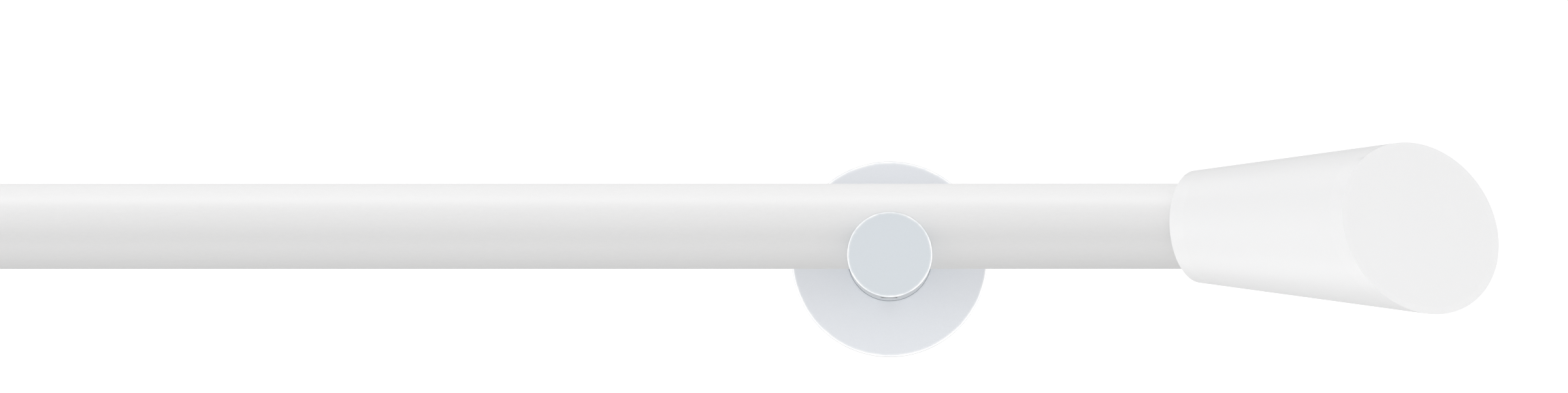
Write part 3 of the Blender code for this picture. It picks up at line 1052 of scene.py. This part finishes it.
def add_plates(materials):
    """Plated discs with a grooved spigot and two countersunk holes."""
    half = ARM_SCREW.diameter / 2 + CAD_GAP
    root = SPIGOT_RADIUS - GROOVE_DEPTH
    outline = [
        (0, SPIGOT_FRONT),
        (SPIGOT_RADIUS, SPIGOT_FRONT, 0.5 * MM),
        (SPIGOT_RADIUS, GROOVE_CENTRE + half, 0.15 * MM),
        (root, GROOVE_CENTRE + half, 0.15 * MM),
        (root, GROOVE_CENTRE - half, 0.15 * MM),
        (SPIGOT_RADIUS, GROOVE_CENTRE - half, 0.15 * MM),
        (SPIGOT_RADIUS, PLATE_THICKNESS, 0.4 * MM),
        (PLATE_RADIUS, PLATE_THICKNESS, 0.6 * MM),
        (PLATE_RADIUS, 0, 0.3 * MM),
        (0, 0),
    ]
    blank = spun("wall_plate", outline, rows=ROW)
    head = WALL_SCREW_HEAD / 2 + CAD_GAP
    hole = WALL_SCREW_DIAMETER / 2 + CAD_GAP
    seat = PLATE_THICKNESS - WALL_SCREW_RIM - CAD_GAP
    over = 2 * MM
    sink = [(0, PLATE_THICKNESS + over), (head, PLATE_THICKNESS + over), (head, seat)]
    sink += [(hole, seat - head + hole), (hole, -over), (0, -over)]
    holes = []
    for up in WALL_SCREW_UPS.values():
        hole_mesh = spun("countersunk_hole", sink, SMALL_ROUND)
        hole_mesh.transform(Matrix.Translation((0, up, 0)))
        holes.append(hole_mesh)
    mesh = cut(blank, holes, edge=0.12 * MM, segments=2)
    for side, sign in SIDES.items():
        matrix = upright(sign * ARM_X)
        name = f"{side}_wall_plate"
        look = materials["zinc"]
        place(f"{side}_backplate", mesh, matrix, "wall_fixings", name, "zinc_plated_steel", look)


# ---------------------------------------------------------------- screws and plugs


def thread(piece, size, low, high, finish):
    run_tree(
        piece,
        RIDGES,
        pitch=size.pitch,
        share_of_radius=size.thread_depth / (size.diameter / 2),
        crest=size.crest,
        flank=size.flank,
        low=low,
        high=high,
        finish=finish,
    )


def wall_screw_mesh(materials):
    """A countersunk wood screw with a coarse thread and a cross recess.

    Its head lies level with the plate's face.
    """
    size = WALL_SCREW
    top = PLATE_THICKNESS
    head = WALL_SCREW_HEAD / 2
    radius = size.diameter / 2 - 0.05 * MM
    neck = top - WALL_SCREW_RIM - (head - radius)
    tip = top - size.length
    outline = [
        (0, top),
        (head, top, 0.12 * MM),
        (head, top - WALL_SCREW_RIM, 0.12 * MM),
        (radius, neck, 0.5 * MM),
        (radius, tip + WALL_SCREW_TIP),
        (0.2 * MM, tip, 0.1 * MM),
        (0, tip),
    ]
    piece = loose(spun("wall_screw", outline, NARROW_ROUND, rows=size.pitch / 10))
    thread(piece, size, tip, neck - 4 * MM, materials["zinc"])
    run_tree(
        piece,
        DRIVE,
        corners=4,
        radius=CROSS_SPAN / math.sqrt(2),
        floor_radius=0.45 * CROSS_SPAN,
        floor=top - CROSS_DEPTH,
        height=2 * CROSS_DEPTH,
        width_share=CROSS_WIDTH / CROSS_SPAN,
        crossed=True,
        finish=materials["zinc"],
    )
    return baked(piece)


def wall_plug_mesh(materials):
    """A ringed sleeve with a smooth collar, slit in two below it."""
    inner = WALL_SCREW_DIAMETER / 2 + CAD_GAP
    outer = inner + PLUG_WALL
    top = -PLUG_BELOW_WALL
    bottom = top - PLUG_LENGTH
    outline = [
        (outer, top, 0.2 * MM),
        (outer, bottom, 0.3 * MM),
        (inner, bottom, 0.1 * MM),
        (inner, top, 0.1 * MM),
    ]
    piece = loose(spun("wall_plug", outline, NARROW_ROUND, rows=PLUG_RING_PITCH / 8))
    run_tree(
        piece,
        RIDGES,
        pitch=PLUG_RING_PITCH,
        starts=0,
        share_of_radius=0.12,
        crest=0.2,
        flank=0.7,
        low=bottom,
        high=top - 0.7 * PLUG_COLLAR,
        core=(inner + outer) / 2,
        finish=materials["plug"],
    )
    reach = PLUG_SLIT / 2
    low, high = bottom - 2 * MM, top - PLUG_COLLAR
    slit = loose(bar("slit", [(low, -reach), (high, -reach), (high, reach), (low, reach)], 4 * outer))
    modifier = piece.modifiers.new("slit", "BOOLEAN")
    modifier.operation = "DIFFERENCE"
    modifier.solver = "EXACT"
    modifier.object = slit
    return baked(piece, slit)


def add_wall_fixings(materials):
    screw = wall_screw_mesh(materials)
    plug = wall_plug_mesh(materials)
    for side, sign in SIDES.items():
        for level, up in WALL_SCREW_UPS.items():
            matrix = upright(sign * ARM_X) @ Matrix.Translation((0, up, 0))
            name = f"{side}_{level}_wall"
            place(f"{name}_fixing", screw, matrix, "wall_fixings", f"{name}_screw", "zinc_plated_steel")
            place(f"{name}_sleeve", plug, matrix, "wall_fixings", f"{name}_plug", "grey_plug_nylon")


def set_screw_mesh(name, size, finish):
    """A headless screw. Its tip is at Z = 0 and its hexagon opens at the top."""
    radius = size.diameter / 2 - 0.06 * MM
    outline = [
        (0, size.length),
        (radius - size.thread_depth, size.length, 0.1 * MM),
        (radius, size.length - size.thread_depth, 0.1 * MM),
        (radius, size.thread_depth, 0.1 * MM),
        (radius - size.thread_depth, 0, 0.1 * MM),
        (0, 0),
    ]
    piece = loose(spun(name, outline, NARROW_ROUND, rows=size.pitch / 10))
    thread(piece, size, -size.pitch, size.length + size.pitch, finish)
    corner = size.flats / math.sqrt(3)
    run_tree(
        piece,
        DRIVE,
        corners=6,
        radius=corner * 1.02,
        floor_radius=corner,
        floor=size.length - size.drive_depth,
        height=2 * size.drive_depth,
        finish=finish,
    )
    return baked(piece)


def add_set_screws(materials):
    """The screws hang tip up, in the undersides of the arms and in the backs of the finials."""
    small = set_screw_mesh("small_set_screw", ARM_SCREW, materials["black"])
    large = set_screw_mesh("large_set_screw", ROD_SCREW, materials["black"])
    pad_radius = ROD_SCREW.diameter / 2 - CAD_GAP
    edge = 0.25 * MM
    pad_outline = [
        (0, 0),
        (pad_radius, 0, edge),
        (pad_radius, PAD_THICKNESS, edge),
        (0, PAD_THICKNESS),
    ]
    pad = spun("pressure_pad", pad_outline, SMALL_ROUND)
    down = Matrix.Rotation(math.radians(90), 4, "X")
    for side, sign in SIDES.items():
        bracket = upright(sign * ARM_X)
        arm_place = bracket @ Matrix.Translation((0, -SPIGOT_RADIUS + CAD_GAP, GROOVE_CENTRE)) @ down
        rod_place = bracket @ Matrix.Translation((0, ROD_SCREW_TIP_UP, ROD_OUT)) @ down
        pad_place = bracket @ Matrix.Translation((0, PAD_TOP_UP, ROD_OUT)) @ down
        seat = Matrix.Translation((0, ROD_RADIUS + CAD_GAP, -FINIAL_SCREW_BACK))
        finial_seat = finial_place(sign) @ seat @ Matrix.Rotation(math.radians(-90), 4, "X")
        black = ("dark_steel", materials["black"])
        nylon = ("natural_nylon", materials["nylon"])
        rows = (
            ("arm_screw", "arm_grub_screw", small, arm_place, "arm_set_screw", black),
            ("rod_screw", "rod_grub_screw", large, rod_place, "rod_set_screw", black),
            ("finial_screw", "finial_grub_screw", small, finial_seat, "finial_set_screw", black),
            ("pad", "nylon_pad", pad, pad_place, "pressure_pad", nylon),
        )
        for body, name, mesh, matrix, cad_node, look in rows:
            place(f"{side}_{name}", mesh, matrix, f"{side}_{body}", f"{side}_{cad_node}", *look)


# ---------------------------------------------------------------- studio


SEEN_BACKDROP = 1.1
FRONT_LIGHT = 1.1
BACK_LIGHT = 0.75
OVERHEAD_SHARE = 0.8
BAND_LIGHT = 1.5
BAND_MIDDLE = 0.1
BAND_FULL = 0.2
BAND_END = 0.5
FLOOR_SIZE = 16
FLOOR_BELOW = 0.5

# Azimuth 0 is in front and 90 to the right, in degrees. Sizes are in metres and powers in watts.
Light = namedtuple("Light", "azimuth elevation away width height power glossy", defaults=[True])
ROD_LIGHTS = {
    "strip_light": Light(0, 74, 0.9, 1.2, 0.25, 3.5),
    "lower_strip_light": Light(0, -55, 0.5, 1.2, 0.2, 1.1),
}
FINIAL_LIGHTS = {
    "rim_light": Light(45, -28, 0.6, 0.06, 0.06, 0.2),
    "front_light": Light(-35, -8, 0.25, 0.1, 0.1, 0.018),
    "under_light": Light(0, -65, 0.34, 0.2, 0.2, 0.21, glossy=False),
}


def add_area_light(name, look, target, lit, sign=1):
    """A soft light that falls on some pieces only. The sign -1 puts it on the target's other side."""
    data = bpy.data.lights.new(name, "AREA")
    data.shape = "RECTANGLE"
    data.size = look.width
    data.size_y = look.height
    data.energy = look.power
    light = bpy.data.objects.new(name, data)
    turn, rise = math.radians(sign * look.azimuth), math.radians(look.elevation)
    flat = math.cos(rise)
    side = Vector((math.sin(turn) * flat, -math.cos(turn) * flat, math.sin(rise)))
    light.location = Vector(target) + side * look.away
    light.rotation_euler = (-side).to_track_quat("-Z", "Y").to_euler()
    light.visible_camera = False
    light.visible_glossy = look.glossy
    bpy.context.scene.collection.objects.link(light)
    group = bpy.data.collections.new(f"lit_by_{name}")
    for piece in lit:
        group.objects.link(piece)
    light.light_linking.receiver_collection = group
    light.light_linking.blocker_collection = group


def mix_values(tree, factor, first, second):
    inputs = {0: factor, 2: first, 3: second}
    return node(tree, "ShaderNodeMix", inputs, data_type="FLOAT").outputs[0]


def add_world():
    """Soft light from the room's side, dimmer overhead and behind. The camera itself sees white.

    A brighter band beside the object shows only in reflections, where it picks out bevelled rims.
    """
    world = bpy.data.worlds.new("studio")
    bpy.context.scene.world = world
    world.use_nodes = True
    tree = world.node_tree
    direction = node(tree, "ShaderNodeTexCoord").outputs["Generated"]
    split = node(tree, "ShaderNodeSeparateXYZ", {0: direction}).outputs
    front = remap(tree, split["Y"], -0.3, 0.9, FRONT_LIGHT, BACK_LIGHT)
    above = remap(tree, split["Z"], 0.0, 1.0, 1.0, OVERHEAD_SHARE)
    strength = calculate(tree, "MULTIPLY", front, above)
    beside = calculate(tree, "ABSOLUTE", calculate(tree, "ADD", split["Y"], BAND_MIDDLE))
    band = remap(tree, beside, BAND_FULL, BAND_END, BAND_LIGHT, 1.0)
    path = node(tree, "ShaderNodeLightPath").outputs
    glossy = mix_values(tree, path["Is Glossy Ray"], 1.0, band)
    lit = calculate(tree, "MULTIPLY", strength, glossy)
    final = mix_values(tree, path["Is Camera Ray"], lit, SEEN_BACKDROP)
    background = tree.nodes["Background"]
    background.inputs["Color"].default_value = (1, 1, 1, 1)
    tree.links.new(final, background.inputs["Strength"])


def add_floor():
    bm = bmesh.new()
    bmesh.ops.create_grid(bm, x_segments=1, y_segments=1, size=FLOOR_SIZE / 2)
    mesh = to_mesh(bm, "floor")
    mesh.materials.append(
        surface(
            "pale_floor",
            colour=(0.66, 0.66, 0.655),
            roughness=0.7,
            grain_size=2 * MM,
            contrast=0.01,
            mottle_size=200 * MM,
            dust=0,
        )
    )
    floor = bpy.data.objects.new("floor", mesh)
    floor.location = (0, 0, -FLOOR_BELOW)
    floor.visible_glossy = False
    bpy.context.scene.collection.objects.link(floor)


def add_studio():
    bpy.context.scene.view_settings.view_transform = "Standard"
    add_world()
    add_floor()
    rod = [bpy.data.objects["rod"]]
    finials = [bpy.data.objects[f"{side}_slanted_finial"] for side in SIDES]
    middle = (0, -ROD_OUT, ROD_UP)
    for name, look in ROD_LIGHTS.items():
        add_area_light(name, look, middle, rod)
    for side, sign in SIDES.items():
        end = (sign * (ROD_END + FINIAL_REACH / 2), -ROD_OUT, ROD_UP)
        for name, look in FINIAL_LIGHTS.items():
            add_area_light(f"{side}_{name}", look, end, finials, sign)


# ---------------------------------------------------------------- the whole


def main():
    add_camera()
    materials = make_materials()
    add_rod(materials)
    add_finials(materials)
    add_rosettes(materials)
    add_arms(materials)
    add_plates(materials)
    add_wall_fixings(materials)
    add_set_screws(materials)
    add_studio()


main()
